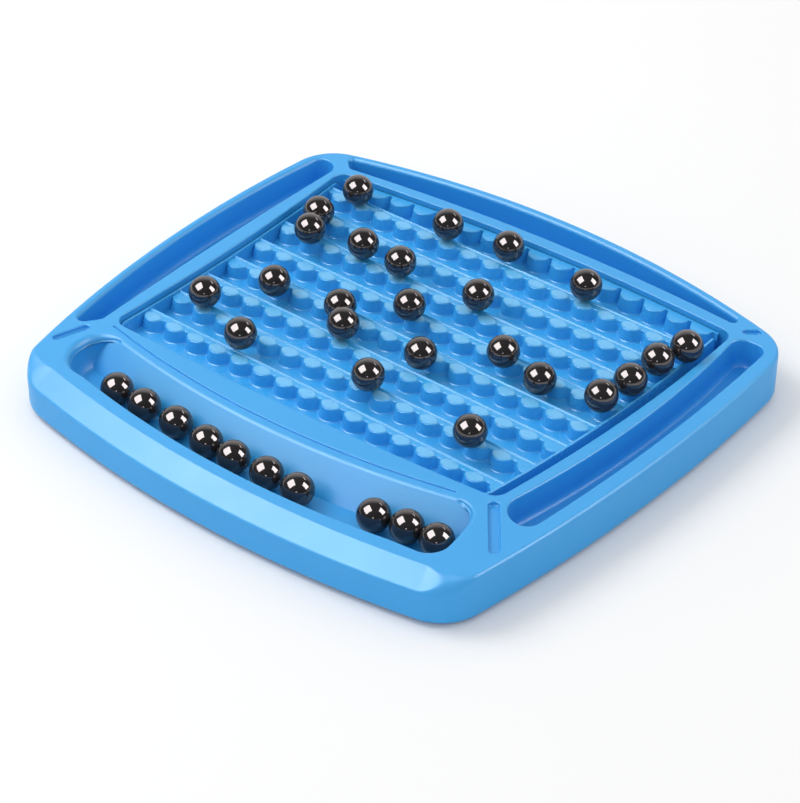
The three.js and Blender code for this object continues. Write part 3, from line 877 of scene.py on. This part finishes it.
class Nodes:
    """The nodes of a material."""

    def __init__(self, name):
        self.material = bpy.data.materials.new(name)
        self.material.use_nodes = True
        self.tree = self.material.node_tree
        self.shader = self.tree.nodes["Principled BSDF"]

    def add(self, kind, **settings):
        node = self.tree.nodes.new(kind)
        for key, value in settings.items():
            if key in node.inputs.keys():
                node.inputs[key].default_value = value
            else:
                setattr(node, key, value)
        return node

    def link(self, a, b):
        self.tree.links.new(a, b)

    def feed(self, socket, value):
        """Give a socket a constant, or the output that is to drive it."""
        if isinstance(value, bpy.types.NodeSocket):
            self.link(value, socket)
        else:
            socket.default_value = value

    def surface(self, key, value):
        self.feed(self.shader.inputs[key], value)

    def noise(self, scale, detail, roughness=0.5):
        """Noise in the piece's own space."""
        cloud = self.add("ShaderNodeTexNoise", Scale=scale, Detail=detail, Roughness=roughness)
        where = self.add("ShaderNodeTexCoord")
        self.link(where.outputs["Object"], cloud.inputs["Vector"])
        return cloud.outputs["Fac"]

    def remap(self, value, low, high, first, last, **settings):
        """The range from low to high of a value turned into the range from first to last."""
        ramp = self.add("ShaderNodeMapRange", **settings)
        for key, number in (("From Min", low), ("From Max", high), ("To Min", first), ("To Max", last)):
            ramp.inputs[key].default_value = number
        self.link(value, ramp.inputs["Value"])
        return ramp.outputs["Result"]

    def blend(self, a, b, share):
        """A colour between two."""
        mix = self.add("ShaderNodeMix", data_type="RGBA")
        self.feed(mix.inputs["A"], a)
        self.feed(mix.inputs["B"], b)
        self.link(share, mix.inputs["Factor"])
        return mix.outputs["Result"]

    def relief(self, height, strength, distance):
        bump = self.add("ShaderNodeBump", Strength=strength, Distance=distance)
        self.link(height, bump.inputs["Height"])
        self.surface("Normal", bump.outputs["Normal"])


def moulded(name, colour, deep, rough, grain, bump, cloud=14.0, painted_highlight_colour=None):
    """Injection-moulded plastic: faint flow clouds in colour and roughness, a fine grain and small scuffs."""
    m = Nodes(name)
    clouds = m.remap(m.noise(cloud, 4.0, 0.55), 0.35, 0.75, 0.0, 0.55)
    base = m.blend(srgb(*colour), srgb(*deep), clouds)
    # The marked faces get a paler colour: a painted highlight on the lobe tops, not a second plastic colour.
    if painted_highlight_colour:
        tone = m.add("ShaderNodeAttribute", attribute_name="tone")
        base = m.blend(base, srgb(*painted_highlight_colour), tone.outputs["Fac"])
    m.surface("Base Color", base)
    m.surface("Roughness", m.remap(m.noise(55.0, 6.0, 0.7), 0.3, 0.75, rough - 0.05, rough + 0.07))
    m.surface("IOR", 1.5)
    m.relief(m.noise(grain, 3.0, 0.6), bump, 0.00006)
    return m.material


def polished_ferrite():
    m = Nodes("polished_ferrite")
    m.surface("Base Color", m.blend(srgb(104, 99, 98), srgb(86, 82, 84), m.noise(420.0, 5.0, 0.6)))
    m.surface("Metallic", 0.82)
    m.surface("Roughness", m.remap(m.noise(260.0, 3.0), 0.3, 0.8, 0.04, 0.10))
    m.relief(m.noise(210.0, 2.0, 0.45), 0.8, 0.00014)
    return m.material


def plated_steel():
    m = Nodes("zinc_plated_steel")
    lines = m.noise(900.0, 3.0)
    m.surface("Base Color", m.blend(srgb(168, 172, 176), srgb(142, 147, 154), lines))
    m.surface("Metallic", 1.0)
    m.surface("Roughness", m.remap(lines, 0.3, 0.7, 0.25, 0.42))
    return m.material


def soft_rubber():
    m = Nodes("black_rubber")
    dust = m.noise(300.0, 5.0, 0.65)
    m.surface("Base Color", m.blend(srgb(38, 39, 42), srgb(60, 61, 64), dust))
    m.surface("Roughness", 0.8)
    m.relief(dust, 0.4, 0.0001)
    return m.material


def dress(piece, material):
    piece.data.materials.clear()
    piece.data.materials.append(material)


shell_look = moulded("blue_moulded_shell", (48, 160, 227), (41, 153, 222), 0.42, 2600.0, 0.10)
# The paler blue given here for the lobe caps is a painted highlight.
mat_look = moulded("blue_moulded_mat", (60, 168, 232), (50, 160, 227), 0.28, 3200.0, 0.12,
                   cloud=30.0, painted_highlight_colour=(104, 185, 236))
cover_look = moulded("blue_base_cover", (46, 148, 214), (40, 140, 206), 0.46, 1800.0, 0.35)
ferrite = polished_ferrite()
steel = plated_steel()
rubber = soft_rubber()

# The pieces
tray = tray_skin().make("tray_skin")
dress(tray, shell_look)
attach(tray, "tray")
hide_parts("tray_shell")

mat = mat_skin().make("mat_skin")
dress(mat, mat_look)
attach(mat, "tray")
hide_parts("play_mat")

for name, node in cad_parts.items():
    if name.startswith("ball_"):
        ball = marble(name)
        dress(ball, ferrite)
        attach(ball, name)
        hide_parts(name)
    elif name == "base_cover":
        dress(node, cover_look)
    elif name.startswith("base_screw"):
        dress(node, steel)
    elif name.startswith("foot_"):
        dress(node, rubber)

# Stage, light and camera, in metres
AZIMUTH = math.radians(39.33)
ELEVATION = math.radians(36.62)
CAMERA_AIM = Vector((0.00826, -0.00728, 0.0011))
CAMERA_DISTANCE = 0.9814
SIDE = Vector((math.cos(AZIMUTH), math.sin(AZIMUTH), 0))
AHEAD = Vector((-math.sin(AZIMUTH), math.cos(AZIMUTH), 0))
LAMP_AIM = Vector((0, 0, 0.01))
FLOOR_HALF = 4.0
FLOOR_LIFT = 0.02
AMBIENT = 0.85
CEILING_RADIUS = 3.0
CEILING_FOOT = 0.02


def floor_look():
    m = Nodes("white_floor")
    m.surface("Base Color", (0.86, 0.86, 0.86, 1))
    m.surface("Roughness", 0.9)
    m.surface("Specular IOR Level", 0.0)
    path = m.add("ShaderNodeLightPath")
    lift = m.add("ShaderNodeMath", operation="MULTIPLY")
    lift.inputs[1].default_value = FLOOR_LIFT
    m.link(path.outputs["Is Camera Ray"], lift.inputs[0])
    m.surface("Emission Color", (1, 1, 1, 1))
    m.surface("Emission Strength", lift.outputs["Value"])
    return m.material


def white_world():
    """White for the camera and in reflections, a little less as a light."""
    world = bpy.data.worlds.new("studio")
    world.use_nodes = True
    tree = world.node_tree
    path = tree.nodes.new("ShaderNodeLightPath")
    seen = path.outputs["Is Camera Ray"]
    for ray in ("Is Glossy Ray", "Is Transmission Ray"):
        either = tree.nodes.new("ShaderNodeMath")
        either.operation = "MAXIMUM"
        tree.links.new(seen, either.inputs[0])
        tree.links.new(path.outputs[ray], either.inputs[1])
        seen = either.outputs["Value"]
    strength = tree.nodes.new("ShaderNodeMapRange")
    strength.inputs["To Min"].default_value = AMBIENT
    strength.inputs["To Max"].default_value = 1.0
    tree.links.new(seen, strength.inputs["Value"])
    background = tree.nodes["Background"]
    background.inputs["Color"].default_value = (1, 1, 1, 1)
    tree.links.new(strength.outputs["Result"], background.inputs["Strength"])
    return world


def ceiling_look():
    """Dark room above the soft boxes, brighter behind the object and along the horizon."""
    m = Nodes("dim_ceiling")
    m.tree.nodes.remove(m.shader)
    light = m.add("ShaderNodeEmission")
    where = m.add("ShaderNodeTexCoord")
    way = m.add("ShaderNodeVectorMath", operation="NORMALIZE")
    m.link(where.outputs["Object"], way.inputs[0])
    total = m.add("ShaderNodeMath", operation="ADD")
    for socket, axis, low, high, gain in ((total.inputs[0], AHEAD, 0.4, 0.9, 1.1),
                                          (total.inputs[1], Vector(DOWN), -0.2, -0.03, 0.45)):
        dot = m.add("ShaderNodeVectorMath", operation="DOT_PRODUCT")
        dot.inputs[1].default_value = axis
        m.link(way.outputs["Vector"], dot.inputs[0])
        m.link(m.remap(dot.outputs["Value"], low, high, 0.02, gain, interpolation_type="SMOOTHSTEP"), socket)
    m.link(total.outputs["Value"], light.inputs["Strength"])
    m.link(light.outputs["Emission"], m.tree.nodes["Material Output"].inputs["Surface"])
    return m.material


def soft_box(name, place, width, height, radiance, glossy):
    """Lamp aimed at the object, seen either in reflections alone or by matt surfaces alone."""
    data = bpy.data.lights.new(name, "AREA")
    data.shape = "RECTANGLE"
    data.size, data.size_y = width, height
    data.energy = radiance * math.pi * width * height
    lamp = linked(name, data)
    lamp.location = place
    lamp.rotation_mode = "QUATERNION"
    lamp.rotation_quaternion = (LAMP_AIM - place).to_track_quat("-Z", "Y")
    lamp.visible_glossy = glossy
    lamp.visible_diffuse = not glossy


def placed(right, up, ahead, distance):
    """A place given by how far right, up and ahead of the object it is, as the camera sees it."""
    return (SIDE * right + AHEAD * ahead + Vector((0, 0, up))).normalized() * distance


bm = bmesh.new()
bmesh.ops.create_grid(bm, x_segments=8, y_segments=8, size=FLOOR_HALF)
floor = linked("floor", mesh_from(bm, "floor"))
dress(floor, floor_look())

bpy.context.scene.world = white_world()
soft_box("key", placed(-0.75, 1.05, 0.3, 1.6), 0.8, 0.8, 5.2, False)
soft_box("left_box", placed(-0.61, 0.79, -0.12, 1.2), 1.0, 0.85, 9, True)
soft_box("right_box", placed(0.78, 0.59, -0.2, 1.2), 0.58, 0.8, 10, True)
soft_box("streak", placed(0.55, 0.64, 0.54, 1.2), 0.4, 0.09, 6, True)
soft_box("low_spot", placed(-0.1, 0.38, -0.91, 1.2), 0.16, 0.12, 5, True)

bm = bmesh.new()
bmesh.ops.create_icosphere(bm, subdivisions=4, radius=CEILING_RADIUS)
bmesh.ops.delete(bm, geom=[v for v in bm.verts if v.co.z < CEILING_FOOT], context="VERTS")
ceiling = linked("ceiling", mesh_from(bm, "ceiling"))
dress(ceiling, ceiling_look())
for kind in ("camera", "diffuse", "transmission", "volume_scatter", "shadow"):
    setattr(ceiling, "visible_" + kind, False)

towards = Vector((math.sin(AZIMUTH) * math.cos(ELEVATION), -math.cos(AZIMUTH) * math.cos(ELEVATION),
                  math.sin(ELEVATION)))
camera_data = bpy.data.cameras.new("camera")
camera_data.sensor_fit = "HORIZONTAL"
camera_data.sensor_width = 36
camera_data.lens = 117
camera_data.clip_start, camera_data.clip_end = 0.05, 50
camera = linked("camera", camera_data)
camera.location = CAMERA_AIM + towards * CAMERA_DISTANCE
camera.rotation_mode = "QUATERNION"
camera.rotation_quaternion = (-towards).to_track_quat("-Z", "Y")
bpy.context.scene.camera = camera
bpy.context.scene.view_settings.view_transform = "Standard"
